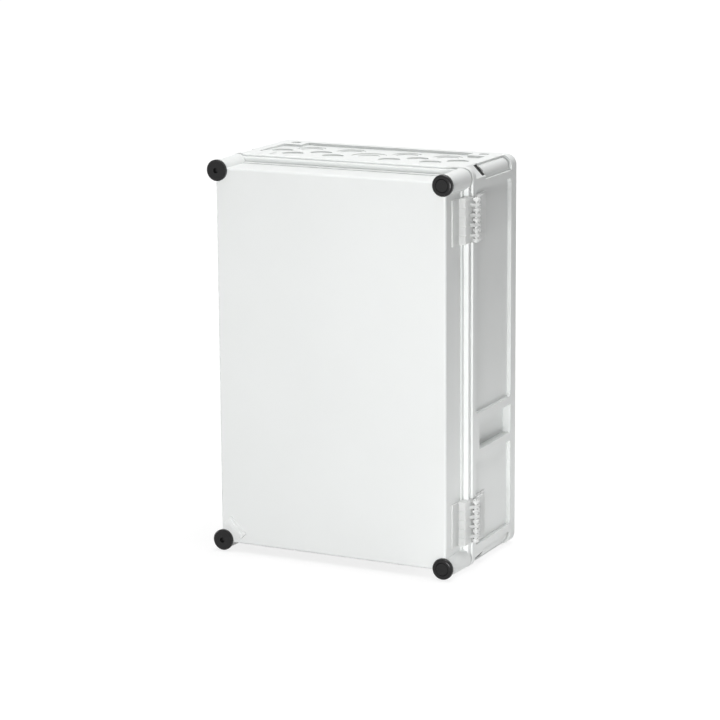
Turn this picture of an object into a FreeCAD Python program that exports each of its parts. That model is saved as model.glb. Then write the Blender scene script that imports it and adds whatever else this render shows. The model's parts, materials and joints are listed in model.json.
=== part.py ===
"""Insulated electrical enclosure: deep base, hinged lid, two turn locks, hinges on the right side.

The origin is the centre of the back face, on the wall. X runs along the width, Z runs up, and the
lid faces -Y. Every height in the sheet is measured from the wall towards the lid.
"""
import FreeCAD, Part
import math
import os

import Sketcher

SIZES = {
    # Envelope of the whole enclosure and its moulded walls
    "width": 300,
    "tall": 450,
    "depth": 170,
    "corner_radius": 12,
    "edge_round": 1.5,
    "wall": 3,
    "lid_depth": 50,
    "split_gap": 0.6,
    # Base rim, back rim and the panels sunk into the four sides
    "rim_depth": 8,
    "rim_lip": 2.5,
    "rim_round": 1,
    "back_rim": 15,
    "panel_sink": 4.5,
    "panel_round": 5,
    "side_panel_end": 25,
    "window_low": 133,
    "window_tall": 33,
    "window_band": 9,
    "window_sink": 9.5,
    "window_front": 10,
    "field_front_depth": 0.5,
    "field_back_depth": 3,
    "field_end": 24,
    "field_notch": 18,
    "field_notch_depth": 22,
    # Hollow corner columns with their open reliefs and keeper slots
    "column_inset": 12.5,
    "bore_radius": 7.5,
    "column_wall": 2.5,
    "back_block": 14,
    "neck_long": 3.5,
    "neck_radius": 5.5,
    "relief_from_side": 10.5,
    "relief_from_end": 16.5,
    "keeper_below_rim": 26.4,
    "fixing_hole_radius": 2.75,
    "keeper_width": 15,
    "keeper_thick": 7,
    "keeper_inner": 8.6,
    "keeper_outer": 8.4,
    "keeper_slot_half_width": 4.15,
    "keeper_slot_half_length": 5.9,
    "seat_clearance": 0.1,
    # Seal between lid and base
    "groove_inset": 4,
    "groove_width": 3,
    "groove_depth": 4,
    "groove_round": 10,
    "gasket_tall": 1.9,
    "rib_width": 2,
    "rib_tall": 2.4,
    # Lid: flange, step, drafted skirt, corner tubes
    "lid_inset": 2.5,
    "flange_thick": 6,
    "flange_round": 0.8,
    "flange_step": 8,
    "step_depth": 6,
    "skirt_step": 1.2,
    "skirt_draft": 0.4,
    "skirt_round": 7,
    "face_round": 2.5,
    "face_wall": 3,
    "lid_wall": 3,
    "tube_front_radius": 10.8,
    "tube_back_radius": 12.3,
    "gate_radius": 4,
    "gate_depth": 0.4,
    # Knock-outs in the top and bottom walls
    "knockout_small": 12.5,
    "knockout_medium": 16.5,
    "knockout_large": 20,
    "knockout_step": 0.8,
    "knockout_depth": 1.6,
    "front_row": 90,
    "middle_row": 69,
    "back_row": 43,
    "front_row_near": 35,
    "front_row_far": 85,
    "middle_row_near": 60,
    "middle_row_far": 109,
    "mark_radius": 6,
    "mark_depth": 1.2,
    "mark_from_side": 32,
    "mark_front": 92,
    "mark_back": 19,
    # Mounting plate with its bosses, inserts and screws
    "plate_height": 15,
    "plate_thick": 2.5,
    "plate_margin": 9,
    "boss_radius": 5,
    "boss_from_side": 40,
    "boss_from_end": 40,
    "insert_radius": 2.9,
    "insert_bore": 2,
    "insert_long": 9,
    "screw_radius": 1.95,
    "screw_long": 9,
    "screw_head_radius": 3.8,
    "screw_drive_depth": 1.2,
    "plate_hole_radius": 2.3,
    # Hinges
    "hinge_long": 50,
    "hinge_from_end": 56,
    "hinge_axis_out": 4,
    "hinge_seat": 2,
    "comb_stand": 2.6,
    "knuckle_radius": 3.5,
    "knuckle_gap": 2.4,
    "hinge_end_gap": 0.4,
    "pin_radius": 1.5,
    "pin_clearance": 0.05,
    "lid_leaf_long": 30,
    "lid_leaf_block": 14,
    "lid_leaf_thick": 1.5,
    "leaf_round": 1.5,
    "leaf_groove": 1.4,
    "base_leaf_long": 40,
    "base_leaf_thick": 1.8,
    "bar_start": 14,
    "bar_long": 8,
    "fin_thick": 2.8,
    "fin_front": 5,
    "web_reach": 8,
    "web_angle": 25,
    # Turn locks and blind caps
    "cap_radius": 12,
    "cap_tall": 4.8,
    "cap_bevel": 1.4,
    "cap_round": 2.4,
    "cap_gap": 0.3,
    "cap_stem_long": 8,
    "cap_ring_depth": 0.5,
    "cap_ring_share": 0.6,
    "socket_radius": 3,
    "socket_depth": 3.2,
    "bushing_radius": 6,
    "bushing_long": 20,
    "bushing_mouth_radius": 5,
    "bushing_mouth_depth": 6,
    "hub_radius": 4.7,
    "hub_long": 2.7,
    "tenon_half": 1.9,
    "shank_radius": 2.8,
    "shank_clearance": 0.05,
    "lug_half_length": 5.2,
    "lug_half_width": 2.2,
    "lug_thick": 3,
    "lug_gap": 0.4,
    "seal_section": 1.6,
    "clip_thick": 1,
    "clip_radius": 5.5,
    "clip_groove": 0.6,
    "clip_opening": 70,
    # Diagonal pad on the lower left corner of the lid
    "tab_reach": 20.3,
    "tab_width": 13,
    "tab_long": 27,
    "tab_sink": 0.8,
    "tab_thick": 1.5,
    "tab_ridge_width": 5,
    "tab_ridge_tall": 0.9,
    "tab_ridge_long": 23,
}

DERIVED = {
    "half_width": "=width / 2",
    "half_tall": "=tall / 2",
    "split": "=depth - lid_depth",
    "rim_face": "=split - split_gap / 2",
    "lid_back": "=split + split_gap / 2",
    "rim_low": "=rim_face - rim_depth",
    "column_x": "=half_width - column_inset",
    "column_z": "=half_tall - column_inset",
    "column_radius": "=bore_radius + column_wall",
    "inner_x": "=half_width - panel_sink - wall",
    "inner_z": "=half_tall - field_back_depth - wall",
    "mouth_x": "=half_width - groove_inset - groove_width - rim_lip",
    "mouth_z": "=half_tall - groove_inset - groove_width - rim_lip",
    "field_tilt": "=atan((field_back_depth - field_front_depth) / (rim_low - back_rim)) / 1 deg",
    "groove_floor": "=rim_face - groove_depth",
    "flange_face": "=lid_back + flange_thick",
    "step_face": "=flange_face + step_depth",
    "skirt_x": "=half_width - flange_step",
    "skirt_z": "=half_tall - flange_step",
    "lid_inner_x": "=skirt_x - skirt_step - skirt_draft - lid_wall",
    "lid_inner_z": "=skirt_z - skirt_step - skirt_draft - lid_wall",
    "keeper_front": "=rim_face - keeper_below_rim",
    "keeper_back": "=keeper_front - keeper_thick",
    "column_start": "=back_block + neck_long",
    "hinge_x": "=half_width + hinge_axis_out",
    "hinge_z": "=half_tall - hinge_from_end",
    "comb_face": "=half_width + comb_stand",
    "flange_side": "=half_width - lid_inset",
    "plate_face": "=plate_height + plate_thick",
    "screw_head_depth": "=screw_head_radius - screw_radius",
    "bushing_back": "=depth - bushing_long",
    "lug_face": "=keeper_back - lug_gap",
}

CORNERS = {
    "top_left": (-1, 1),
    "top_right": (1, 1),
    "bottom_left": (-1, -1),
    "bottom_right": (1, -1),
}
LOCK_CORNERS = ("top_left", "bottom_left")
HINGE_CORNERS = ("top_right", "bottom_right")
HINGE_ENDS = {"upper": 1, "lower": -1}
KNUCKLES = 9
LEAF_GROOVES = 4

doc = FreeCAD.newDocument("enclosure")
sheet = doc.addObject("Spreadsheet::Sheet", "size")
parts = []


def number(expression):
    """Value of an expression that reads the sheet."""
    return float(sheet.evalExpression(expression))


def fill_sheet():
    """Write every size as text in a row of its own, with its name as the alias."""
    for row, (alias, content) in enumerate([*SIZES.items(), *DERIVED.items()], start=1):
        sheet.set("A%d" % row, alias)
        sheet.set("B%d" % row, str(content))
        sheet.setAlias("B%d" % row, alias)


class Plan:
    """One sketch of a body. Its points and radii are held by expressions from the sheet."""

    def __init__(self, body, name, plane, height="0"):
        self.sketch = body.newObject("Sketcher::SketchObject", name)
        self.sketch.AttachmentSupport = [(origin_plane(body, plane), "")]
        self.sketch.MapMode = "FlatFace"
        self.sketch.setExpression("AttachmentOffset.Base.z", height)

    def tilt(self, degrees):
        """Turn the sketch about its own horizontal axis."""
        turned = FreeCAD.Rotation(FreeCAD.Vector(1, 0, 0), number(degrees))
        self.sketch.AttachmentOffset = FreeCAD.Placement(self.sketch.AttachmentOffset.Base, turned)
        self.sketch.setExpression("AttachmentOffset.Rotation.Angle", degrees)
        return self

    def hold(self, kind, *where):
        """Add one constraint. A size comes last, as an expression."""
        if kind in ("DistanceX", "DistanceY", "Radius"):
            expression = where[-1]
            index = self.sketch.addConstraint(
                Sketcher.Constraint(kind, *where[:-1], number(expression)))
            self.sketch.setExpression("Constraints[%d]" % index, expression)
        else:
            self.sketch.addConstraint(Sketcher.Constraint(kind, *where))

    def hold_point(self, shape, end, across, along):
        self.hold("DistanceX", -1, 1, shape, end, across)
        self.hold("DistanceY", -1, 1, shape, end, along)

    def polygon(self, points):
        """Closed outline through points that are given as pairs of expressions."""
        places = [FreeCAD.Vector(number(a), number(b), 0) for a, b in points]
        count = len(places)
        lines = [self.sketch.addGeometry(Part.LineSegment(places[i], places[(i + 1) % count]))
                 for i in range(count)]
        for i, line in enumerate(lines):
            self.hold("Coincident", line, 2, lines[(i + 1) % count], 1)
            self.hold_point(line, 1, *points[i])
        return self

    def rectangle(self, left, right, low, high):
        return self.polygon([(left, low), (right, low), (right, high), (left, high)])

    def circle(self, across, along, radius):
        centre = FreeCAD.Vector(number(across), number(along), 0)
        shape = self.sketch.addGeometry(Part.Circle(centre, FreeCAD.Vector(0, 0, 1), number(radius)))
        self.hold("Radius", shape, radius)
        self.hold_point(shape, 3, across, along)
        return self

    def corner_arcs(self, centres, radius, spans):
        arcs = []
        for (across, along), (start, stop) in zip(centres, spans):
            centre = FreeCAD.Vector(number(across), number(along), 0)
            ring = Part.Circle(centre, FreeCAD.Vector(0, 0, 1), number(radius))
            arc = self.sketch.addGeometry(
                Part.ArcOfCircle(ring, math.radians(start), math.radians(stop)))
            self.hold("Radius", arc, radius)
            self.hold_point(arc, 3, across, along)
            arcs.append(arc)
        return arcs

    def arc_end(self, arc, end):
        return self.sketch.getPoint(arc, end)

    def rounded(self, half_x, half_y, radius, middle_x="0", middle_y="0"):
        """Rectangle with rounded corners about a middle point."""
        reach_x = "(%s - (%s))" % (half_x, radius)
        reach_y = "(%s - (%s))" % (half_y, radius)
        centres = [("%s + %s * (%s)" % (middle_x, sx, reach_x), "%s + %s * (%s)" % (middle_y, sy, reach_y))
                   for sx, sy in (("1", "1"), ("-1", "1"), ("-1", "-1"), ("1", "-1"))]
        arcs = self.corner_arcs(centres, radius, [(0, 90), (90, 180), (180, 270), (270, 360)])
        for i, arc in enumerate(arcs):
            following = arcs[(i + 1) % 4]
            line = self.sketch.addGeometry(
                Part.LineSegment(self.arc_end(arc, 2), self.arc_end(following, 1)))
            self.hold("Tangent", arc, 2, line, 1)
            self.hold("Tangent", line, 2, following, 1)
        return self

    def notched(self, half_x, half_y, centre_x, centre_y, radius):
        """Rectangle whose corners step inwards round the four corner columns."""
        signs = [(1, 1), (-1, 1), (-1, -1), (1, -1)]
        side = math.degrees(math.acos((number(half_x) - number(centre_x)) / number(radius)))
        end = math.degrees(math.asin((number(half_y) - number(centre_y)) / number(radius)))
        spans = [(180 - end, 360 - side), (180 + side, 360 + end), (-end, 180 - side), (side, 180 + end)]
        centres = [("%d * %s" % (sx, centre_x), "%d * %s" % (sy, centre_y)) for sx, sy in signs]
        arcs = self.corner_arcs(centres, radius, spans)
        edges = [((0, 1), (1, 2), "Horizontal", "DistanceY", half_y),
                 ((1, 1), (2, 2), "Vertical", "DistanceX", "-1 * " + half_x),
                 ((2, 1), (3, 2), "Horizontal", "DistanceY", "-1 * " + half_y),
                 ((3, 1), (0, 2), "Vertical", "DistanceX", half_x)]
        for (first, first_end), (last, last_end), level, axis, place in edges:
            line = self.sketch.addGeometry(Part.LineSegment(
                self.arc_end(arcs[first], first_end), self.arc_end(arcs[last], last_end)))
            self.hold("Coincident", line, 1, arcs[first], first_end)
            self.hold("Coincident", line, 2, arcs[last], last_end)
            self.hold(level, line)
            self.hold(axis, -1, 1, line, 1, place)
        return self

    def diagonal(self, middle, direction, start, stop, half):
        """Rectangle that runs along a 45 degree direction from a middle point."""
        sx, sy = direction
        points = []
        for reach, offset in ((start, "-1"), (stop, "-1"), (stop, "1"), (start, "1")):
            points.append(("%s + %d * (%s - %s * %s) / sqrt(2)" % (middle[0], sx, reach, offset, half),
                           "%s + %d * (%s + %s * %s) / sqrt(2)" % (middle[1], sy, reach, offset, half)))
        return self.polygon(points)


def origin_feature(body, role):
    for feature in body.Origin.OriginFeatures:
        if feature.Role == role:
            return feature


def origin_plane(body, role):
    return origin_feature(body, role + "_Plane")


def new_body(label):
    body = doc.addObject("PartDesign::Body", label)
    body.Label = label
    parts.append(body)
    return body


def place(body, across="0", along="0", up="0"):
    for axis, expression in (("x", across), ("y", along), ("z", up)):
        body.setExpression("Placement.Base." + axis, expression)


def pad(body, plan, length, both_ways=False, backwards=False):
    feature = body.newObject("PartDesign::Pad", plan.sketch.Name + "_pad")
    feature.Profile = plan.sketch
    feature.setExpression("Length", length)
    feature.Reversed = backwards
    if both_ways:
        feature.SideType = "Symmetric"
    plan.sketch.Visibility = False
    return feature


def cut(body, plan, length=None, forwards=False, both_ways=False):
    """Pocket a plan. forwards cuts along the plane's own direction, through everything or by length."""
    feature = body.newObject("PartDesign::Pocket", plan.sketch.Name + "_cut")
    feature.Profile = plan.sketch
    feature.Reversed = forwards
    if length is None:
        feature.Type = "ThroughAll"
    else:
        feature.setExpression("Length", length)
    if both_ways:
        feature.SideType = "Symmetric"
    plan.sketch.Visibility = False
    return feature


def mirror(body, features, plane):
    feature = body.newObject("PartDesign::Mirrored", features[0].Name + "_mirror")
    feature.Originals = features
    feature.MirrorPlane = (origin_plane(body, plane), [""])
    body.Tip = feature
    return feature


def turn(body, plan):
    """Revolve a profile about the body's own Y axis."""
    feature = body.newObject("PartDesign::Revolution", plan.sketch.Name + "_turn")
    feature.Profile = plan.sketch
    feature.ReferenceAxis = (plan.sketch, ["V_Axis"])
    feature.Angle = 360
    plan.sketch.Visibility = False
    return feature


def repeat_up(body, features, length, count):
    """Copies of some features in a row along Z, the last one at the given length."""
    feature = body.newObject("PartDesign::LinearPattern", features[0].Name + "_row")
    feature.Originals = features
    feature.Direction = (origin_feature(body, "Z_Axis"), [""])
    feature.setExpression("Length", length)
    feature.Occurrences = count
    body.Tip = feature
    return feature


def cone(body, kind, name, middle, height, back_radius, front_radius, length):
    """Cone along the plane's own direction, added or taken away."""
    feature = body.newObject("PartDesign::" + kind + "Cone", name)
    feature.AttachmentSupport = [(origin_plane(body, "XZ"), "")]
    feature.MapMode = "FlatFace"
    feature.setExpression("AttachmentOffset.Base.x", middle[0])
    feature.setExpression("AttachmentOffset.Base.y", middle[1])
    feature.setExpression("AttachmentOffset.Base.z", height)
    feature.setExpression("Radius1", back_radius)
    feature.setExpression("Radius2", front_radius)
    feature.setExpression("Height", length)
    return feature


def edges_where(feature, wanted):
    """Names of the edges whose middle point passes a test."""
    doc.recompute()
    names = []
    for index, edge in enumerate(feature.Shape.Edges):
        middle = edge.valueAt((edge.FirstParameter + edge.LastParameter) / 2)
        if wanted(middle, edge):
            names.append("Edge%d" % (index + 1))
    return names


def soften(body, feature, wanted, radius, kind="Fillet"):
    """Round or bevel the edges of a feature that pass a test."""
    names = edges_where(feature, wanted)
    rounding = body.newObject("PartDesign::" + kind, feature.Name + "_" + kind.lower())
    rounding.Base = (feature, names)
    rounding.setExpression("Radius" if kind == "Fillet" else "Size", radius)
    return rounding


def near(value, expression, tolerance=0.01):
    return abs(value - number(expression)) < tolerance


def depths(profile):
    """Profile points as radius and height from the wall, turned into sketch expressions."""
    return [(radius, "-1 * (%s)" % height) for radius, height in profile]


def corner_circles(plan, radius):
    for sx, sz in CORNERS.values():
        plan.circle("%d * size.column_x" % sx, "%d * size.column_z" % sz, radius)
    return plan


def base_block(body):
    """Solid block with rounded edges, and the cavity that leaves the walls and the rim lip."""
    block = pad(body, Plan(body, "envelope", "XZ").rounded(
        "size.half_width", "size.half_tall", "size.corner_radius"), "size.rim_face")
    shoulder = soften(body, block, outer_long_edge("size.rim_face"), "size.rim_round")
    soften(body, shoulder, outer_long_edge("0"), "size.edge_round")
    cavity = Plan(body, "cavity", "XZ", "size.wall").notched(
        "size.inner_x", "size.inner_z", "size.column_x", "size.column_z",
        "size.column_radius + size.wall / 2")
    cut(body, cavity, "size.rim_low - size.wall", forwards=True)
    mouth = Plan(body, "mouth", "XZ", "size.rim_low").notched(
        "size.mouth_x", "size.mouth_z", "size.column_x", "size.column_z",
        "size.groove_round + size.groove_width + size.rim_lip")
    cut(body, mouth, forwards=True)


def outer_long_edge(*heights):
    """Test for the edges of the outer outline at some heights."""
    def wanted(middle, edge):
        return any(near(-middle.y, height) for height in heights)
    return wanted


def rim_edge(height, radius):
    """Test for the round edge of one radius at one height."""
    def wanted(middle, edge):
        round_edge = edge.Curve.TypeId == "Part::GeomCircle"
        return near(-middle.y, height) and round_edge and near(edge.Curve.Radius, radius)
    return wanted


def side_panels(body):
    """Sunk panels in both side walls and the deeper window between them."""
    sink = "size.half_width - size.panel_sink"
    spans = {"upper": ("-size.half_tall + size.window_low + size.window_tall + size.window_band",
                       "size.half_tall - size.side_panel_end"),
             "lower": ("-size.half_tall + size.side_panel_end",
                       "-size.half_tall + size.window_low - size.window_band")}
    features = []
    for name, (low, high) in spans.items():
        panel = Plan(body, name + "_panel", "YZ", sink).rounded(
            "(size.rim_low - size.back_rim) / 2", "((%s) - (%s)) / 2" % (high, low), "size.panel_round",
            "-1 * (size.rim_low + size.back_rim) / 2", "((%s) + (%s)) / 2" % (high, low))
        features.append(cut(body, panel, forwards=True))
    low = "-size.half_tall + size.window_low"
    high = "-size.half_tall + size.window_low + size.window_tall"
    boss = Plan(body, "window_boss", "YZ", "size.half_width - size.window_sink - size.wall").rectangle(
        "-1 * size.rim_low", "-1 * size.back_rim + size.wall", low + " - size.wall", high + " + size.wall")
    features.append(pad(body, boss, "size.window_sink - size.panel_sink + size.wall / 2"))
    window = Plan(body, "window", "YZ", "size.half_width - size.window_sink").rectangle(
        "-1 * size.rim_low + size.window_front", "-1 * size.back_rim", low, high)
    features.append(cut(body, window, forwards=True))
    mirror(body, features, "YZ")


def knockout_field(body):
    """Field in the end walls, sunk more towards the wall, with its knock-outs and four small marks."""
    slope = "-1 * size.field_tilt"
    level = "size.half_tall - size.field_back_depth - size.back_rim * sin(size.field_tilt * 1 deg)"
    outer = "size.half_width - size.field_end"
    inner = "size.half_width - size.field_end - size.field_notch_depth"
    front, back = "-1 * size.rim_low", "-1 * size.back_rim"
    front_in, back_in = front + " + size.field_notch", back + " - size.field_notch"
    half = [(outer, front_in), (outer, back_in), (inner, back_in), (inner, back)]
    half_front = [(inner, front), (inner, front_in)]
    right = half_front + half
    left = [("-1 * (%s)" % x, y) for x, y in reversed(right)]
    field = Plan(body, "field", "XY", level).tilt(slope).polygon(right + left)
    features = [cut(body, field, forwards=True)]
    steps = Plan(body, "knockout_steps", "XY", level).tilt(slope)
    discs = Plan(body, "knockout_discs", "XY", level).tilt(slope)
    for across, row, radius in knockouts():
        discs.circle(across, "-1 * " + row, "size.knockout_small")
        if radius != "size.knockout_small":
            steps.circle(across, "-1 * " + row, radius)
    features.append(cut(body, steps, "size.knockout_step"))
    features.append(cut(body, discs, "size.knockout_depth"))
    marks = Plan(body, "marks", "XY", "size.half_tall")
    for sign in (-1, 1):
        for row in ("size.mark_front", "size.mark_back"):
            marks.circle("%d * (size.half_width - size.mark_from_side)" % sign, "-1 * " + row,
                         "size.mark_radius")
    features.append(cut(body, marks, "size.mark_depth"))
    mirror(body, features, "XY")


def knockouts():
    """Place across, row and outer radius of every knock-out of one wall."""
    places = [("0", "size.middle_row", "size.knockout_large")]
    for sign in ("-1", "1"):
        for near_far in ("near", "far"):
            outer_rows = "%s * size.front_row_%s" % (sign, near_far)
            middle_row = "%s * size.middle_row_%s" % (sign, near_far)
            places.append((outer_rows, "size.front_row", "size.knockout_small"))
            places.append((outer_rows, "size.back_row", "size.knockout_medium"))
            places.append((middle_row, "size.middle_row", "size.knockout_small"))
    return places


def corner_columns(body):
    """Hollow corner columns, open to the outside behind the keeper, with a screw hole to the wall."""
    relief = Plan(body, "relief", "XZ", "size.back_block")
    beyond = "size.corner_radius"
    for sx, sz in CORNERS.values():
        xs = ["%d * (size.half_width %s)" % (sx, edge) for edge in ("- size.relief_from_side", "+ " + beyond)]
        zs = ["%d * (size.half_tall %s)" % (sz, edge) for edge in ("- size.relief_from_end", "+ " + beyond)]
        relief.rectangle(*sorted(xs, key=number), *sorted(zs, key=number))
    cut(body, relief, "size.keeper_back - size.back_block", forwards=True)
    necks = Plan(body, "necks", "XZ", "size.back_block")
    pad(body, corner_circles(necks, "size.neck_radius"), "size.neck_long")
    columns = Plan(body, "columns", "XZ", "size.column_start")
    pad(body, corner_circles(columns, "size.column_radius"), "size.keeper_back - size.column_start")
    bores = Plan(body, "bores", "XZ", "size.column_start")
    cut(body, corner_circles(bores, "size.bore_radius"), forwards=True)
    holes = Plan(body, "fixing_holes", "XZ", "size.column_start")
    cut(body, corner_circles(holes, "size.fixing_hole_radius"))
    flats = Plan(body, "corner_flats", "XZ", "size.keeper_back")
    corner_diagonals(flats, "(size.keeper_outer + size.seat_clearance)", "2 * size.corner_radius")
    cut(body, flats, "size.rim_low - size.keeper_back", forwards=True)
    slots = Plan(body, "keeper_slots", "XZ", "size.keeper_back - size.seat_clearance")
    corner_diagonals(slots, "(-1 * size.keeper_inner - size.seat_clearance)",
                     "(size.keeper_width / 2 + size.seat_clearance)")
    cut(body, slots, "size.keeper_thick + 2 * size.seat_clearance", forwards=True)


def corner_diagonals(plan, start, half):
    """One diagonal strip per corner, from a distance off the column's centre to beyond the corner."""
    for sx, sz in CORNERS.values():
        plan.diagonal(("%d * size.column_x" % sx, "%d * size.column_z" % sz), (sx, sz),
                      start, "2 * size.corner_radius", half)


def seal_groove(body):
    groove = Plan(body, "groove", "XZ", "size.groove_floor")
    seal_outline(groove, "0", "0")
    cut(body, groove, forwards=True)


def seal_outline(plan, outer_gap, inner_gap):
    """Ring between two notched outlines, as wide as the seal groove less a gap on each side."""
    plan.notched("(size.half_width - size.groove_inset - %s)" % outer_gap,
                 "(size.half_tall - size.groove_inset - %s)" % outer_gap,
                 "size.column_x", "size.column_z", "(size.groove_round + %s)" % outer_gap)
    plan.notched("(size.half_width - size.groove_inset - size.groove_width + %s)" % inner_gap,
                 "(size.half_tall - size.groove_inset - size.groove_width + %s)" % inner_gap,
                 "size.column_x", "size.column_z", "(size.groove_round + size.groove_width - %s)" % inner_gap)
    return plan


def hinge_seats(body):
    """Shallow seats that let the hinge leaves sit in the right side of the rim."""
    seats = Plan(body, "hinge_seats", "YZ", "size.half_width - size.hinge_seat")
    for sign in HINGE_ENDS.values():
        middle = "%d * size.hinge_z" % sign
        seats.rectangle("-1 * size.rim_face", "-1 * size.rim_low",
                        middle + " - size.hinge_long / 2 - size.hinge_end_gap",
                        middle + " + size.hinge_long / 2 + size.hinge_end_gap")
    cut(body, seats, forwards=True)


def boss_places():
    return [("%d * (size.half_width - size.boss_from_side)" % sx,
             "%d * (size.half_tall - size.boss_from_end)" % sz) for sx, sz in CORNERS.values()]


def plate_bosses(body):
    bosses = Plan(body, "bosses", "XZ", "size.wall / 2")
    holes = Plan(body, "boss_holes", "XZ", "size.plate_height")
    for across, up in boss_places():
        bosses.circle(across, up, "size.boss_radius")
        holes.circle(across, up, "size.insert_radius + size.seat_clearance / 2")
    pad(body, bosses, "size.plate_height - size.wall / 2")
    cut(body, holes, "size.insert_long + size.seat_clearance")


def base_shell():
    body = new_body("base_shell")
    base_block(body)
    side_panels(body)
    knockout_field(body)
    corner_columns(body)
    seal_groove(body)
    hinge_seats(body)
    plate_bosses(body)


def keeper(label, sx, sz):
    """Plate pushed in along the diagonal of the corner. The lug of a lock passes its slot and turns."""
    body = new_body(label)
    plan = Plan(body, label + "_outline", "XZ", "size.keeper_back")
    plan.diagonal(("0", "0"), (sx, sz), "(-1 * size.keeper_inner)", "size.keeper_outer",
                  "size.keeper_width / 2")
    plan.rectangle("-1 * size.keeper_slot_half_width", "size.keeper_slot_half_width",
                   "-1 * size.keeper_slot_half_length", "size.keeper_slot_half_length")
    pad(body, plan, "size.keeper_thick")
    place(body, "%d * size.column_x" % sx, "0", "%d * size.column_z" % sz)


def gasket():
    body = new_body("lid_gasket")
    pad(body, seal_outline(Plan(body, "gasket_outline", "XZ", "size.groove_floor"),
                           "size.seat_clearance", "size.seat_clearance"), "size.gasket_tall")


def mounting_plate():
    """Sheet with notched corners and four countersunk holes."""
    body = new_body("mounting_plate")
    plan = Plan(body, "plate_outline", "XZ", "size.plate_height").notched(
        "(size.inner_x - size.plate_margin)", "(size.inner_z - size.plate_margin)", "size.column_x",
        "size.column_z", "(size.column_radius + size.plate_margin)")
    for across, up in boss_places():
        plan.circle(across, up, "size.plate_hole_radius")
    pad(body, plan, "size.plate_thick")
    for place_number, middle in enumerate(boss_places()):
        cone(body, "Subtractive", "sink_%d" % place_number, middle,
             "size.plate_face - size.screw_head_depth - size.seat_clearance",
             "size.screw_radius", "size.screw_head_radius + size.seat_clearance",
             "size.screw_head_depth + size.seat_clearance")


def plate_screws():
    """Four countersunk screws, flush with the plate so that devices can lie anywhere on it."""
    body = new_body("mounting_plate_screws")
    shanks = Plan(body, "screw_shanks", "XZ", "size.plate_face")
    drives = Plan(body, "screw_drives", "XZ", "size.plate_face")
    for across, up in boss_places():
        shanks.circle(across, up, "size.screw_radius")
        drives.circle(across, up, "size.screw_radius / 2")
    pad(body, shanks, "size.screw_long", backwards=True).AllowMultiFace = True
    for place_number, middle in enumerate(boss_places()):
        cone(body, "Additive", "screw_head_%d" % place_number, middle,
             "size.plate_face - size.screw_head_depth", "size.screw_radius", "size.screw_head_radius",
             "size.screw_head_depth")
    cut(body, drives, "size.screw_drive_depth")


def threaded_inserts():
    body = new_body("threaded_inserts")
    plan = Plan(body, "insert_rings", "XZ", "size.plate_height - size.insert_long")
    for across, up in boss_places():
        plan.circle(across, up, "size.insert_radius")
        plan.circle(across, up, "size.insert_bore")
    pad(body, plan, "size.insert_long")


def knuckle_row(body, name, first, web):
    """Knuckles in every second slot of the hinge, each on a web that reaches the leaf."""
    slot = "(size.hinge_long / %d)" % KNUCKLES
    level = "%d * %s - size.hinge_long / 2 + size.knuckle_gap / 2" % (first, slot)
    web_pad = pad(body, Plan(body, name + "_web", "XY", level).polygon(web), slot + " - size.knuckle_gap")
    round_plan = Plan(body, name + "_knuckle", "XY", level).circle(
        "size.hinge_x", "-1 * size.split", "size.knuckle_radius")
    round_pad = pad(body, round_plan, slot + " - size.knuckle_gap")
    count = len(range(first, KNUCKLES, 2))
    repeat_up(body, [web_pad, round_pad], "%d * %s" % (2 * count - 2, slot), count)
    bore = Plan(body, name + "_bore", "XY", "0").circle(
        "size.hinge_x", "-1 * size.split", "size.pin_radius + size.pin_clearance")
    cut(body, bore, "2 * size.hinge_long", both_ways=True)


def web_points(away):
    """Web outline from the leaf to the knuckle. away is 1 towards the lid and -1 towards the wall."""
    side = "size.knuckle_radius * cos(size.web_angle * 1 deg)"
    rise = "size.knuckle_radius * sin(size.web_angle * 1 deg)"
    far, middle, near_axis = ["-1 * (size.split + %d * %s)" % (away, reach)
                              for reach in ("size.web_reach", rise, "0")]
    return [("size.half_width - size.base_leaf_thick / 2", far), ("size.half_width", far),
            ("size.hinge_x + " + side, middle), ("size.hinge_x - " + side, near_axis)]


def hinge_lid_leaf(label, sign):
    """Leaf round the lid's flange: a block, grooved across its front, and a thin plate on the skirt."""
    body = new_body(label)
    gap = " + size.seat_clearance"
    start = "size.lid_back" + gap
    flange = "size.flange_face" + gap
    block_stop = "size.flange_face + size.lid_leaf_block"
    stop = "size.flange_face + size.lid_leaf_long"
    plate = skirt_side(stop) + gap + " + size.lid_leaf_thick"
    step = "size.step_face" + gap
    outline = [("size.flange_side" + gap, start), ("size.half_width", start),
               ("size.half_width", block_stop), (plate, block_stop), (plate, stop),
               (skirt_side(stop) + gap, stop), (skirt_side("size.step_face") + gap, step),
               ("size.skirt_x" + gap, step), ("size.skirt_x" + gap, flange),
               ("size.flange_side" + gap, flange)]
    block = pad(body, Plan(body, label + "_profile", "XY").polygon(depths(outline)),
                "size.hinge_long", both_ways=True)
    soften(body, block, lambda middle, edge: near(middle.x, "size.half_width"), "size.leaf_round")
    grooves = Plan(body, label + "_grooves", "XZ", block_stop + " - size.leaf_groove")
    for index in range(1, LEAF_GROOVES + 1):
        level = "size.hinge_long * (%d / %d - 0.5)" % (index, LEAF_GROOVES + 1)
        grooves.rectangle(plate, "size.hinge_x", level + " - size.leaf_groove / 2",
                          level + " + size.leaf_groove / 2")
    cut(body, grooves, forwards=True)
    knuckle_row(body, label, 1, web_points(1))
    place(body, up="%d * size.hinge_z" % sign)


def skirt_side(height):
    """X of the lid's drafted side wall at a height, as an expression."""
    return ("(size.skirt_x - size.skirt_step - size.skirt_draft * ((%s) - size.step_face)"
            " / (size.depth - size.step_face))" % height)


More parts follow.
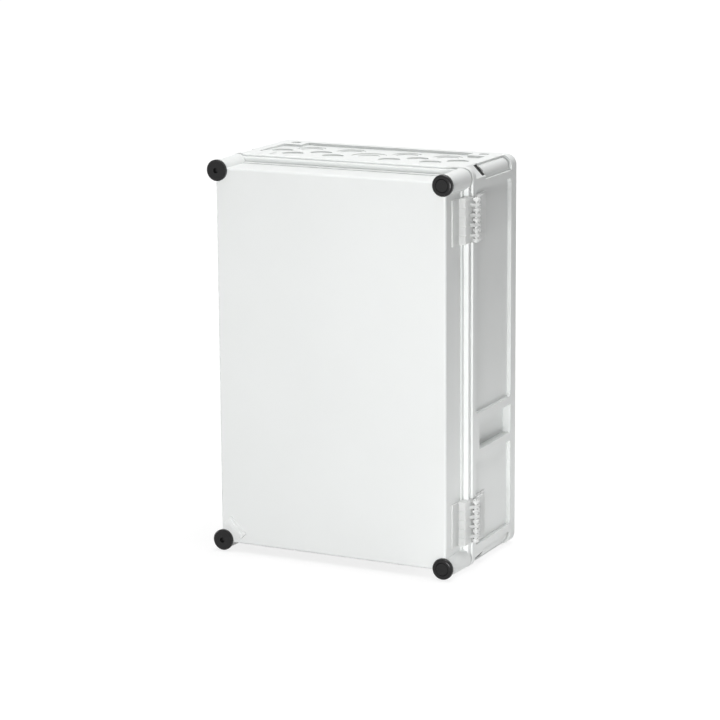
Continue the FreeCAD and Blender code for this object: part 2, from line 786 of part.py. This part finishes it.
def hinge_base_leaf(label, sign):
    """Leaf on the side of the base: thin plate, solid bar and a comb of fins up to the rim."""
    body = new_body(label)
    seat = "size.half_width - size.hinge_seat + size.seat_clearance / 2"
    floor = "size.half_width - size.panel_sink + size.seat_clearance / 2"
    thick = " + size.base_leaf_thick"
    stop = "size.rim_face - size.base_leaf_long"
    step = "size.rim_low - size.seat_clearance"
    outline = [(floor, stop), (floor + thick, stop), (floor + thick, step + " - size.base_leaf_thick"),
               (seat + thick, step + " - size.base_leaf_thick"), (seat + thick, "size.rim_face"),
               (seat, "size.rim_face"), (seat, step), (floor, step)]
    leaf = Plan(body, label + "_profile", "XY").polygon(depths(outline))
    pad(body, leaf, "size.hinge_long", both_ways=True)
    bar_front = "size.split - size.bar_start"
    bar = Plan(body, label + "_bar", "XY").rectangle(
        floor, "size.comb_face", "-1 * (%s)" % bar_front, "-1 * (%s - size.bar_long)" % bar_front)
    pad(body, bar, "size.hinge_long", both_ways=True)
    fins = Plan(body, label + "_fins", "XZ", bar_front + " - size.bar_long / 2")
    for index in range(KNUCKLES):
        level = "size.hinge_long * (%d / %d - 0.5)" % (2 * index + 1, 2 * KNUCKLES)
        fins.rectangle(seat + " + size.base_leaf_thick / 2", "size.comb_face",
                       level + " - size.fin_thick / 2", level + " + size.fin_thick / 2")
    pad(body, fins, "size.bar_start + size.bar_long / 2 - size.fin_front").AllowMultiFace = True
    knuckle_row(body, label, 0, web_points(-1))
    place(body, up="%d * size.hinge_z" % sign)


def hinge_pin(label, sign):
    body = new_body(label)
    plan = Plan(body, label + "_round", "XY").circle("size.hinge_x", "-1 * size.split", "size.pin_radius")
    pad(body, plan, "size.hinge_long", both_ways=True)
    place(body, up="%d * size.hinge_z" % sign)


def lid_shell():
    body = new_body("lid_shell")
    lid_block(body)
    lid_tubes(body)
    lid_corner_pad_seat(body)


def lid_block(body):
    """Flange, stepped and drafted skirt, rounded face, the hollow inside and the sealing rib."""
    flange = pad(body, Plan(body, "flange", "XZ", "size.lid_back").rounded(
        "size.flange_side", "(size.half_tall - size.lid_inset)", "(size.corner_radius - size.lid_inset)"),
        "size.flange_thick")
    soften(body, flange, outer_long_edge("size.lid_back", "size.flange_face"), "size.flange_round")
    step = pad(body, Plan(body, "step", "XZ", "size.flange_face").rounded(
        "size.skirt_x", "size.skirt_z", "size.skirt_round"), "size.step_depth")
    soften(body, step, outer_long_edge("size.step_face"), "size.flange_round")
    low = Plan(body, "skirt_low", "XZ", "size.step_face").rounded(
        "(size.skirt_x - size.skirt_step)", "(size.skirt_z - size.skirt_step)", "size.skirt_round")
    high = Plan(body, "skirt_high", "XZ", "size.depth").rounded(
        "(size.skirt_x - size.skirt_step - size.skirt_draft)",
        "(size.skirt_z - size.skirt_step - size.skirt_draft)", "size.skirt_round")
    skirt = body.newObject("PartDesign::AdditiveLoft", "skirt")
    skirt.Profile = low.sketch
    skirt.Sections = [high.sketch]
    skirt.Ruled = True
    for plan in (low, high):
        plan.sketch.Visibility = False
    soften(body, skirt, outer_long_edge("size.depth"), "size.face_round")
    hollow = Plan(body, "hollow", "XZ", "size.depth - size.face_wall").notched(
        "size.lid_inner_x", "size.lid_inner_z", "size.column_x", "size.column_z",
        "size.column_radius + size.wall")
    cut(body, hollow)
    rib = seal_outline(Plan(body, "rib", "XZ", "size.lid_back - size.rib_tall"),
                       "(size.groove_width - size.rib_width) / 2", "(size.groove_width - size.rib_width) / 2")
    pad(body, rib, "size.rib_tall + size.flange_thick / 2")
    gate = Plan(body, "gate", "XZ", "size.depth").circle("0", "0", "size.gate_radius")
    cut(body, gate, "size.gate_depth")


def lid_tubes(body):
    """Conical corner tubes, bored for the locks and the blind caps."""
    tube_start = "size.flange_face - size.flange_thick / 2"
    for name, (sx, sz) in CORNERS.items():
        cone(body, "Additive", "tube_" + name, ("%d * size.column_x" % sx, "%d * size.column_z" % sz),
             tube_start, "size.tube_back_radius", "size.tube_front_radius", "size.depth - (%s)" % tube_start)
    cut(body, corner_circles(Plan(body, "column_bores", "XZ", "size.bushing_back"), "size.bore_radius"))
    cut(body, corner_circles(Plan(body, "bushing_bores", "XZ", "size.depth"),
                             "size.bushing_radius + size.seat_clearance / 2"))


def lid_corner_pad_seat(body):
    seat = Plan(body, "tab_seat", "XZ", "size.depth")
    tab_outline(seat, "size.seat_clearance")
    cut(body, seat, "size.tab_sink")


def tab_outline(plan, grow, half_width="size.tab_width / 2", half_long="size.tab_long / 2"):
    middle = ("-1 * size.column_x", "-1 * size.column_z")
    return plan.diagonal(middle, (1, 1), "(size.tab_reach - %s - %s)" % (half_width, grow),
                         "(size.tab_reach + %s + %s)" % (half_width, grow), "(%s + %s)" % (half_long, grow))


def sealing_tab():
    body = new_body("sealing_tab")
    height = "size.depth - size.tab_sink"
    slab = pad(body, tab_outline(Plan(body, "tab_outline", "XZ", height), "0"), "size.tab_thick")
    soften(body, slab, outer_long_edge(height + " + size.tab_thick"), "size.tab_thick / 3")
    ridge = tab_outline(Plan(body, "tab_ridge", "XZ", height + " + size.tab_thick / 2"), "0",
                        "size.tab_ridge_width / 2", "size.tab_ridge_long / 2")
    pad(body, ridge, "size.tab_thick / 2 + size.tab_ridge_tall")


def lock_place(body, corner):
    sx, sz = CORNERS[corner]
    place(body, "%d * size.column_x" % sx, "0", "%d * size.column_z" % sz)


def lock_knob(corner):
    body = new_body("lock_knob_" + corner)
    back = "size.depth + size.cap_gap"
    top = "size.depth + size.cap_tall"
    profile = [("0", back + " - size.hub_long"), ("size.hub_radius", back + " - size.hub_long"),
               ("size.hub_radius", back), ("size.cap_radius", back),
               ("size.cap_radius", top + " - size.cap_bevel"), ("size.cap_radius - size.cap_bevel", top),
               ("size.socket_radius", top), ("size.socket_radius", top + " - size.socket_depth"),
               ("0", top + " - size.socket_depth")]
    turn(body, Plan(body, "knob_profile", "XY").polygon(depths(profile)))
    half = "(size.tenon_half + size.seat_clearance / 2)"
    socket = Plan(body, "tenon_hole", "XZ", back + " - size.hub_long").rectangle(
        "-1 * " + half, half, "-1 * " + half, half)
    cut(body, socket, "size.hub_long", forwards=True)
    lock_place(body, corner)


def lock_bolt(corner):
    """Shank with a square tenon in front and the cross lug behind."""
    body = new_body("lock_bolt_" + corner)
    front = "size.depth + size.cap_gap - size.hub_long"
    shank = Plan(body, "shank", "XZ", "size.lug_face - size.lug_thick").circle("0", "0", "size.shank_radius")
    pad(body, shank, front + " - size.lug_face + size.lug_thick")
    pad(body, Plan(body, "tenon", "XZ", front).rectangle(
        "-1 * size.tenon_half", "size.tenon_half", "-1 * size.tenon_half", "size.tenon_half"),
        "size.hub_long - size.seat_clearance")
    pad(body, Plan(body, "lug", "XZ", "size.lug_face - size.lug_thick").rectangle(
        "-1 * size.lug_half_width", "size.lug_half_width",
        "-1 * size.lug_half_length", "size.lug_half_length"), "size.lug_thick")
    groove = Plan(body, "clip_groove", "XZ", clip_back() + " - size.seat_clearance")
    groove.circle("0", "0", "size.shank_radius + size.clip_groove")
    groove.circle("0", "0", "size.shank_radius - size.clip_groove")
    cut(body, groove, "size.clip_thick + 2 * size.seat_clearance", forwards=True)
    lock_place(body, corner)


def clip_back():
    return "size.bushing_back - size.cap_gap - size.clip_thick"


def lock_clip(corner):
    """Open retaining clip in the groove of the bolt, just behind the bushing."""
    body = new_body("lock_retaining_clip_" + corner)
    ring = Plan(body, "clip_ring", "XZ", clip_back())
    ring.circle("0", "0", "size.clip_radius")
    ring.circle("0", "0", "size.shank_radius - size.clip_groove + size.seat_clearance")
    pad(body, ring, "size.clip_thick")
    reach = "2 * size.clip_radius"
    spread = "%s * tan(size.clip_opening / 2 * 1 deg)" % reach
    opening = Plan(body, "clip_mouth", "XZ", clip_back()).polygon(
        [("0", "0"), (reach, "-1 * " + spread), (reach, spread)])
    cut(body, opening, forwards=True)
    lock_place(body, corner)


def lock_seal(corner):
    """Seal ring of square section round the shank, in the mouth of the bushing."""
    body = new_body("lock_seal_ring_" + corner)
    middle = "size.depth - (size.bushing_mouth_depth + size.hub_long - size.cap_gap) / 2"
    inner = "size.shank_radius + size.seat_clearance"
    low, high = middle + " - size.seal_section / 2", middle + " + size.seal_section / 2"
    profile = [(inner, low), (inner + " + size.seal_section", low),
               (inner + " + size.seal_section", high), (inner, high)]
    turn(body, Plan(body, "seal_profile", "XY").polygon(depths(profile)))
    lock_place(body, corner)


def lock_bushing(corner):
    body = new_body("lock_bushing_" + corner)
    bore = "size.shank_radius + size.shank_clearance"
    mouth = "size.depth - size.bushing_mouth_depth"
    profile = [(bore, "size.bushing_back"), ("size.bushing_radius", "size.bushing_back"),
               ("size.bushing_radius", "size.depth"), ("size.bushing_mouth_radius", "size.depth"),
               ("size.bushing_mouth_radius", mouth), (bore, mouth)]
    turn(body, Plan(body, "bushing_profile", "XY").polygon(depths(profile)))
    lock_place(body, corner)


def blind_cap(corner):
    """Cap pressed into the tube on the hinge side, with a shallow ring round its top."""
    body = new_body("blind_cap_" + corner)
    top = "size.depth + size.cap_tall"
    stem = "size.depth - size.cap_stem_long"
    middle = "size.cap_radius * size.cap_ring_share"
    profile = [("0", stem), ("size.bushing_radius", stem), ("size.bushing_radius", "size.depth"),
               ("size.cap_radius", "size.depth"), ("size.cap_radius", top),
               (middle + " + size.cap_ring_depth", top), (middle, top + " - size.cap_ring_depth"),
               (middle + " - size.cap_ring_depth", top), ("0", top)]
    cap = turn(body, Plan(body, "cap_profile", "XY").polygon(depths(profile)))
    soften(body, cap, rim_edge(top, "size.cap_radius"), "size.cap_round")
    lock_place(body, corner)


def build():
    base_shell()
    for corner, (sx, sz) in CORNERS.items():
        keeper("keeper_" + corner, sx, sz)
    gasket()
    mounting_plate()
    plate_screws()
    threaded_inserts()
    for end, sign in HINGE_ENDS.items():
        hinge_base_leaf("hinge_base_leaf_" + end, sign)
        hinge_pin("hinge_pin_" + end, sign)
        hinge_lid_leaf("hinge_lid_leaf_" + end, sign)
    lid_shell()
    sealing_tab()
    for corner in HINGE_CORNERS:
        blind_cap(corner)
    for corner in LOCK_CORNERS:
        lock_bushing(corner)
        lock_knob(corner)
        lock_bolt(corner)
        lock_seal(corner)
        lock_clip(corner)


def check():
    """Stop when a feature failed, a cut removed nothing or a sub-part is not a valid solid."""
    nothing = 0.01
    for thing in doc.Objects:
        if "Invalid" in thing.State or "Error" in thing.State:
            raise RuntimeError("%s did not compute: %s" % (thing.Label, thing.State))
        if thing.isDerivedFrom("PartDesign::Pocket"):
            if thing.Shape.Volume > thing.BaseFeature.Shape.Volume - nothing:
                raise RuntimeError("%s removes nothing" % thing.Label)
    for body in parts:
        if body.Shape.isNull() or not body.Shape.isValid() or not body.Shape.Solids:
            raise RuntimeError("%s has no valid solid" % body.Label)


def export():
    os.makedirs("parts", exist_ok=True)
    for body in parts:
        body.Shape.exportStep("parts/%s.step" % body.Label)
        print("%-34s %2d solids %10.0f mm3" % (body.Label, len(body.Shape.Solids), body.Shape.Volume))


fill_sheet()
doc.recompute()
build()
doc.recompute()
check()
export()
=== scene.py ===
import json
import math

import bpy
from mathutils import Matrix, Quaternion, Vector


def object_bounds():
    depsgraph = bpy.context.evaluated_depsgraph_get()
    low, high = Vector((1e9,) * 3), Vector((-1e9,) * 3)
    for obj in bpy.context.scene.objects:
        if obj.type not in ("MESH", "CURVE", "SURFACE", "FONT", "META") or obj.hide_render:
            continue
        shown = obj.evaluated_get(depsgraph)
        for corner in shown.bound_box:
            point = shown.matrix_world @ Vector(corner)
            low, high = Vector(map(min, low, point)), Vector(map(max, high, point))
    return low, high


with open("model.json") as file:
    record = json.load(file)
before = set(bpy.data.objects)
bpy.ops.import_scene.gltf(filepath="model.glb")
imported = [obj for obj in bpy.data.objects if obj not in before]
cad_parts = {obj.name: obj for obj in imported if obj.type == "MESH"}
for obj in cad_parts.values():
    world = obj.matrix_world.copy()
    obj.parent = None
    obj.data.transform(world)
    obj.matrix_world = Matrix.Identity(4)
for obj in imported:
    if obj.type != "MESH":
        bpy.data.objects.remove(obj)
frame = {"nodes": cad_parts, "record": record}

cad_low, cad_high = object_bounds()

# Camera, fitted to the corner caps and edges in the photograph
CAMERA_AZIMUTH = 26.4
CAMERA_ELEVATION = 12.5
CAMERA_ROLL = -0.4
CAMERA_DISTANCE = 3.0636
CAMERA_TARGET = Vector((0.0072, -0.110, -0.0019))
CAMERA_NEAREST = 0.1
CAMERA_FARTHEST = 60.0
FOCAL_PIXELS = 2731.9
FRAME_PIXELS = 720
SENSOR_WIDTH = 36.0

# Colours of the plastics and metals, in linear light
LID_WHITE = (0.835, 0.852, 0.843)
BASE_WHITE = (0.82, 0.838, 0.828)
HINGE_MILK = (0.84, 0.85, 0.84)
TAB_MILK = (0.89, 0.91, 0.90)
CAP_BLACK = (0.006, 0.006, 0.0063)
KEEPER_BLACK = (0.006, 0.006, 0.006)
GASKET_DARK = (0.035, 0.035, 0.037)
ZINC = (0.43, 0.44, 0.445)
SPRING_GREY = (0.38, 0.38, 0.39)
BRASS = (0.60, 0.42, 0.18)
BUSHING_GREY = (0.10, 0.10, 0.105)
MILK_SHINING_THROUGH = (0.92, 0.92, 0.92, 1)
WHITE = (1, 1, 1, 1)
FLOOR_GREY = (0.3, 0.3, 0.3, 1)

# Noise: the usual range of its values, and how detailed and rough it is where nothing else is said
NOISE_RANGE = (0.3, 0.7)
FULL_RANGE = (0, 1)
NOISE_DETAIL = 3.0
NOISE_ROUGHNESS = 0.55

# Moulded plastic: noise scales per metre, depths in metres, and how far the gloss varies
CLOUD_SCALE = 7.0
SHEEN_SCALE = 38.0
SHEEN_DETAIL = 5.0
SHEEN_BELOW = 0.04
SHEEN_ABOVE = 0.05
GRAIN_SCALE = 2600.0
GRAIN_DETAIL = 1.0
GRAIN_DEPTH = 0.000012
RIPPLE_SCALE = 26.0
RIPPLE_DETAIL = 2.0
RIPPLE_DEPTH = 0.00006
MOULDED_IOR = 1.5
MOULDED_GLOW_RADIUS = (1.0, 1.0, 0.9)
MOULDED_GLOW_SCALE = 0.004

# Milky plastic: flow marks, ripples and the light inside it
FLOW_SCALE = 120.0
FLOW_DETAIL = 4.0
FLOW_SPREAD = 0.03
FLOW_GLOSS = (0.28, 0.40)
MILKY_RIPPLE_SCALE = 300.0
MILKY_RIPPLE_DEPTH = 0.00005
MILKY_IOR = 1.45
MILKY_GLOW_RADIUS = (1.0, 1.0, 1.0)
MILKY_GLOW_SCALE = 0.002

# Plated metal: drawn grain, and the share of the zinc flowers in its shade
DRAWN_SCALE = 900.0
DRAWN_DEPTH = 0.00002
DRAWN_SPREAD = 0.10
DRAWN_GLOSS_BELOW = 0.06
DRAWN_GLOSS_ABOVE = 0.08
FLOWER_SHARE = 0.35
NO_STREAK = (1.0, 1.0, 1.0)
STREAK_UP = (1.0, 1.0, 0.04)
STREAK_INWARDS = (1.0, 0.05, 1.0)

# Sealing foam
FOAM_CELL_SCALE = 1500.0
FOAM_CELL_DEPTH = 0.0002
FOAM_SPREAD = 0.35
FOAM_ROUGHNESS = 0.85

# Soft boxes: place, aim and size in metres, and power in watts
LAMPS = {
    "front_box": dict(place=(0.3, -1.9, 0.03), aim=(0, -0.17, 0.03), size=(0.6, 0.3), power=22.5),
    "right_box": dict(place=(2.0, -1.5, 0.1), aim=(0.15, -0.1, 0), size=(1.0, 0.8), power=1.2),
    "left_box": dict(place=(-2.2, -0.1, 0.3), aim=(-0.15, -0.1, 0), size=(1.0, 0.8), power=7.5),
    "top_box": dict(place=(0.1, 0.25, 2.4), aim=(0, 0, 0.1), size=(1.6, 1.6), power=48),
}

# World: strength of the light on the object, and of the white background
SKY_LIGHT = 0.20
SKY_WHITE = 1.0

# Floor, and its glows for the object and the camera: reach in metres, strength at its two ends
FLOOR_HALF = 12.0
FLOOR_LEVEL = cad_low.z
FLOOR_ROUGHNESS = 0.9
POOL = dict(centre=(0.37, -0.09, FLOOR_LEVEL), reach=(0.02, 0.32), strength=(1.9, 0.0))
WHITENING = dict(centre=(0, 0, FLOOR_LEVEL), reach=(0.2, 2.5), strength=(0.78, 1.0))


def fill(made, values):
    """Set the unlinked inputs of a node, by their names."""
    for name, value in values.items():
        made.inputs[name].default_value = value


def node(tree, kind, values=None, **properties):
    """Add one shader node and set its properties and its unlinked inputs."""
    made = tree.nodes.new("ShaderNode" + kind)
    for name, value in properties.items():
        setattr(made, name, value)
    fill(made, values or {})
    return made


def new_material(name):
    material = bpy.data.materials.new(name)
    material.use_nodes = True
    tree = material.node_tree
    shader = tree.nodes["Principled BSDF"]
    return material, tree, shader


def position(tree):
    """Object coordinates, in metres, the same in every view and pose."""
    return node(tree, "TexCoord").outputs["Object"]


def noise(tree, where, scale, detail=NOISE_DETAIL):
    made = node(tree, "TexNoise", {"Scale": scale, "Detail": detail, "Roughness": NOISE_ROUGHNESS})
    tree.links.new(where, made.inputs["Vector"])
    return made.outputs["Fac"]


def cells(tree, where, scale):
    """Irregular cells, each with a colour of its own."""
    made = node(tree, "TexVoronoi", {"Scale": scale})
    tree.links.new(where, made.inputs["Vector"])
    return made.outputs


def map_range(tree, value, source, target, **properties):
    """Map a value from one range to another. A range is its first and its last value."""
    limits = {"From Min": source[0], "From Max": source[1], "To Min": target[0], "To Max": target[1]}
    made = node(tree, "MapRange", limits, **properties)
    tree.links.new(value, made.inputs["Value"])
    return made.outputs["Result"]


def tint(tree, value, colour, spread):
    """Mix two shades of a colour by a noise value."""
    mix = node(tree, "Mix", data_type="RGBA")
    mix.inputs["A"].default_value = tuple(c * (1 - spread) for c in colour) + (1,)
    mix.inputs["B"].default_value = tuple(min(1, c * (1 + spread)) for c in colour) + (1,)
    tree.links.new(value, mix.inputs["Factor"])
    return mix.outputs["Result"]


def bump(tree, height, depth, normal=None):
    """Small relief, its depth in metres, laid over another one if given."""
    made = node(tree, "Bump", {"Distance": depth, "Strength": 1.0})
    tree.links.new(height, made.inputs["Height"])
    if normal is not None:
        tree.links.new(normal, made.inputs["Normal"])
    return made.outputs["Normal"]


def mix_shaders(tree, first, second):
    """A shader that goes from the first to the second one with its factor."""
    mix = node(tree, "MixShader")
    tree.links.new(first.outputs[0], mix.inputs[1])
    tree.links.new(second.outputs[0], mix.inputs[2])
    return mix


def use_shader(tree, made):
    """Put a shader on the surface of its material."""
    tree.links.new(made.outputs[0], tree.nodes["Material Output"].inputs["Surface"])


def plastic(name, colour, roughness, grain=GRAIN_SCALE, grain_depth=GRAIN_DEPTH, spread=0.012,
            subsurface=0.0, specular=0.5):
    """Moulded plastic: fine spark-eroded grain, slow shade changes and uneven gloss."""
    material, tree, shader = new_material(name)
    where = position(tree)
    cloud = map_range(tree, noise(tree, where, CLOUD_SCALE), NOISE_RANGE, FULL_RANGE)
    tree.links.new(tint(tree, cloud, colour, spread), shader.inputs["Base Color"])
    gloss = (roughness - SHEEN_BELOW, roughness + SHEEN_ABOVE)
    sheen = map_range(tree, noise(tree, where, SHEEN_SCALE, SHEEN_DETAIL), NOISE_RANGE, gloss)
    tree.links.new(sheen, shader.inputs["Roughness"])
    fine = bump(tree, noise(tree, where, grain, GRAIN_DETAIL), grain_depth)
    ripple = bump(tree, noise(tree, where, RIPPLE_SCALE, RIPPLE_DETAIL), RIPPLE_DEPTH, normal=fine)
    tree.links.new(ripple, shader.inputs["Normal"])
    fill(shader, {
        "IOR": MOULDED_IOR,
        "Specular IOR Level": specular,
        "Subsurface Weight": subsurface,
        "Subsurface Radius": MOULDED_GLOW_RADIUS,
        "Subsurface Scale": MOULDED_GLOW_SCALE,
    })
    return material


def milky(name, colour, see_through):
    """Natural unfilled plastic: milky, with light inside it and faint flow marks."""
    material, tree, shader = new_material(name)
    where = position(tree)
    flow = noise(tree, where, FLOW_SCALE, FLOW_DETAIL)
    shade = map_range(tree, flow, NOISE_RANGE, FULL_RANGE)
    tree.links.new(tint(tree, shade, colour, FLOW_SPREAD), shader.inputs["Base Color"])
    tree.links.new(map_range(tree, flow, NOISE_RANGE, FLOW_GLOSS), shader.inputs["Roughness"])
    ripple = bump(tree, noise(tree, where, MILKY_RIPPLE_SCALE), MILKY_RIPPLE_DEPTH)
    tree.links.new(ripple, shader.inputs["Normal"])
    fill(shader, {
        "IOR": MILKY_IOR,
        "Subsurface Weight": 1.0,
        "Subsurface Radius": MILKY_GLOW_RADIUS,
        "Subsurface Scale": MILKY_GLOW_SCALE,
    })
    through = node(tree, "BsdfTranslucent", {"Color": MILK_SHINING_THROUGH})
    mix = mix_shaders(tree, shader, through)
    fill(mix, {"Fac": see_through})
    use_shader(tree, mix)
    return material


def metal(name, colour, roughness, streak=NO_STREAK, flower_scale=None):
    """Plated metal: drawn grain along one axis, uneven gloss and, on sheet, faint zinc flowers."""
    material, tree, shader = new_material(name)
    where = position(tree)
    stretch = node(tree, "Mapping", {"Scale": streak})
    tree.links.new(where, stretch.inputs["Vector"])
    drawn = noise(tree, stretch.outputs["Vector"], DRAWN_SCALE)
    shade = with_flowers(tree, where, drawn, flower_scale) if flower_scale else drawn
    tree.links.new(tint(tree, shade, colour, DRAWN_SPREAD), shader.inputs["Base Color"])
    gloss = (roughness - DRAWN_GLOSS_BELOW, roughness + DRAWN_GLOSS_ABOVE)
    tree.links.new(map_range(tree, shade, NOISE_RANGE, gloss), shader.inputs["Roughness"])
    tree.links.new(bump(tree, drawn, DRAWN_DEPTH), shader.inputs["Normal"])
    fill(shader, {"Metallic": 1.0})
    return material


def with_flowers(tree, where, drawn, scale):
    """The drawn grain, mixed with the flat grey cells of a zinc coat."""
    grey = node(tree, "SeparateColor")
    tree.links.new(cells(tree, where, scale)["Color"], grey.inputs["Color"])
    blend = node(tree, "Mix", {"Factor": FLOWER_SHARE}, data_type="FLOAT")
    tree.links.new(drawn, blend.inputs["A"])
    tree.links.new(grey.outputs["Red"], blend.inputs["B"])
    return blend.outputs["Result"]


def foam(name, colour):
    """Closed-cell sealing foam."""
    material, tree, shader = new_material(name)
    depth = cells(tree, position(tree), FOAM_CELL_SCALE)["Distance"]
    tree.links.new(tint(tree, depth, colour, FOAM_SPREAD), shader.inputs["Base Color"])
    tree.links.new(bump(tree, depth, FOAM_CELL_DEPTH), shader.inputs["Normal"])
    fill(shader, {"Roughness": FOAM_ROUGHNESS})
    return material


def make_materials():
    """One material for each slot of the record."""
    looks = {
        "lid_plastic": (plastic, dict(colour=LID_WHITE, roughness=0.34, subsurface=0.06)),
        "base_plastic": (plastic, dict(colour=BASE_WHITE, roughness=0.36, subsurface=0.06)),
        "hinge_plastic": (milky, dict(colour=HINGE_MILK, see_through=0.6)),
        "tab_plastic": (milky, dict(colour=TAB_MILK, see_through=0.0)),
        "black_plastic": (plastic, dict(colour=CAP_BLACK, roughness=0.24, grain=1800.0,
                                        grain_depth=0.00001, spread=0.15, specular=0.30)),
        "keeper_plastic": (plastic, dict(colour=KEEPER_BLACK, roughness=0.5, spread=0.2, specular=0.2)),
        "seal_rubber": (foam, dict(colour=GASKET_DARK)),
        "plate_steel": (metal, dict(colour=ZINC, roughness=0.44, streak=STREAK_UP, flower_scale=110.0)),
        "screw_steel": (metal, dict(colour=ZINC, roughness=0.28)),
        "insert_brass": (metal, dict(colour=BRASS, roughness=0.3)),
        "bushing_plastic": (plastic, dict(colour=BUSHING_GREY, roughness=0.45, spread=0.08)),
        "bolt_steel": (metal, dict(colour=ZINC, roughness=0.3, streak=STREAK_INWARDS)),
        "clip_steel": (metal, dict(colour=SPRING_GREY, roughness=0.35)),
        "pin_plastic": (milky, dict(colour=HINGE_MILK, see_through=0.3)),
    }
    return {slot: make(slot, **look) for slot, (make, look) in looks.items()}


def dress_nodes(materials):
    """Give every CAD node the material of its slot in the record."""
    for part in frame["record"]["subparts"]:
        mesh = frame["nodes"][part["node"]].data
        mesh.materials.clear()
        mesh.materials.append(materials[part["material_slot"]])


def back_vector(azimuth, elevation):
    """Direction from the target to the camera."""
    turn = math.radians(azimuth)
    rise = math.radians(elevation)
    return Vector((math.sin(turn) * math.cos(rise), -math.cos(turn) * math.cos(rise), math.sin(rise)))


def make_camera():
    data = bpy.data.cameras.new("camera")
    data.sensor_width = SENSOR_WIDTH
    data.lens = FOCAL_PIXELS / FRAME_PIXELS * SENSOR_WIDTH
    data.clip_start = CAMERA_NEAREST
    data.clip_end = CAMERA_FARTHEST
    camera = bpy.data.objects.new("camera", data)
    bpy.context.scene.collection.objects.link(camera)
    back = back_vector(CAMERA_AZIMUTH, CAMERA_ELEVATION)
    camera.location = CAMERA_TARGET + back * CAMERA_DISTANCE
    camera.rotation_mode = "QUATERNION"
    level = (-back).to_track_quat("-Z", "Y")
    camera.rotation_quaternion = level @ Quaternion((0, 0, 1), math.radians(CAMERA_ROLL))
    bpy.context.scene.camera = camera


def area_light(name, place, aim, size, power):
    data = bpy.data.lights.new(name, "AREA")
    data.shape = "RECTANGLE"
    data.size, data.size_y = size
    data.energy = power
    lamp = bpy.data.objects.new(name, data)
    lamp.location = place
    lamp.rotation_mode = "QUATERNION"
    lamp.rotation_quaternion = (Vector(aim) - Vector(place)).to_track_quat("-Z", "Y")
    bpy.context.scene.collection.objects.link(lamp)


def make_lights():
    """Four soft boxes: a low one in front, weak ones at the right and left and a large one above."""
    for name, lamp in LAMPS.items():
        area_light(name, **lamp)


def seen_directly(tree):
    """1 for camera, glossy and transmission rays, 0 for the light that reaches the object."""
    path = node(tree, "LightPath")
    seen = path.outputs["Is Camera Ray"]
    for ray in ("Is Glossy Ray", "Is Transmission Ray"):
        either = node(tree, "Math", operation="MAXIMUM")
        tree.links.new(seen, either.inputs[0])
        tree.links.new(path.outputs[ray], either.inputs[1])
        seen = either.outputs[0]
    return seen


def make_world():
    """Soft light all round on the object, and a white background."""
    world = bpy.data.worlds.new("studio")
    bpy.context.scene.world = world
    world.use_nodes = True
    tree = world.node_tree
    tree.nodes.clear()
    soft = node(tree, "Background", {"Color": WHITE, "Strength": SKY_LIGHT})
    white = node(tree, "Background", {"Color": WHITE, "Strength": SKY_WHITE})
    mix = mix_shaders(tree, soft, white)
    tree.links.new(seen_directly(tree), mix.inputs["Fac"])
    tree.links.new(mix.outputs[0], node(tree, "OutputWorld").inputs["Surface"])


def with_glow(tree, shader, centre, reach, strength):
    """The floor's own shader with a white glow, which changes smoothly with the distance from a point."""
    distance = node(tree, "VectorMath", operation="DISTANCE")
    distance.inputs[1].default_value = centre
    tree.links.new(position(tree), distance.inputs[0])
    fade = map_range(tree, distance.outputs["Value"], reach, strength, interpolation_type="SMOOTHSTEP")
    glow = node(tree, "Emission")
    tree.links.new(fade, glow.inputs["Strength"])
    add = node(tree, "AddShader")
    tree.links.new(shader.outputs[0], add.inputs[0])
    tree.links.new(glow.outputs[0], add.inputs[1])
    return add


def floor_material():
    """Grey that takes the shadow, white to the camera, with a pool of light at the right side."""
    material, tree, shader = new_material("floor")
    fill(shader, {"Base Color": FLOOR_GREY, "Roughness": FLOOR_ROUGHNESS, "Specular IOR Level": 0.0})
    to_object = with_glow(tree, shader, **POOL)
    to_camera = with_glow(tree, shader, **WHITENING)
    mix = mix_shaders(tree, to_object, to_camera)
    tree.links.new(seen_directly(tree), mix.inputs["Fac"])
    use_shader(tree, mix)
    return material


def make_floor():
    """Square floor under the enclosure."""
    signs = ((-1, -1), (1, -1), (1, 1), (-1, 1))
    corners = [(x * FLOOR_HALF, y * FLOOR_HALF, FLOOR_LEVEL) for x, y in signs]
    mesh = bpy.data.meshes.new("floor")
    mesh.from_pydata(corners, [], [(0, 1, 2, 3)])
    mesh.materials.append(floor_material())
    floor = bpy.data.objects.new("floor", mesh)
    bpy.context.scene.collection.objects.link(floor)


bpy.context.scene.view_settings.view_transform = "Standard"
dress_nodes(make_materials())
make_camera()
make_lights()
make_world()
make_floor()
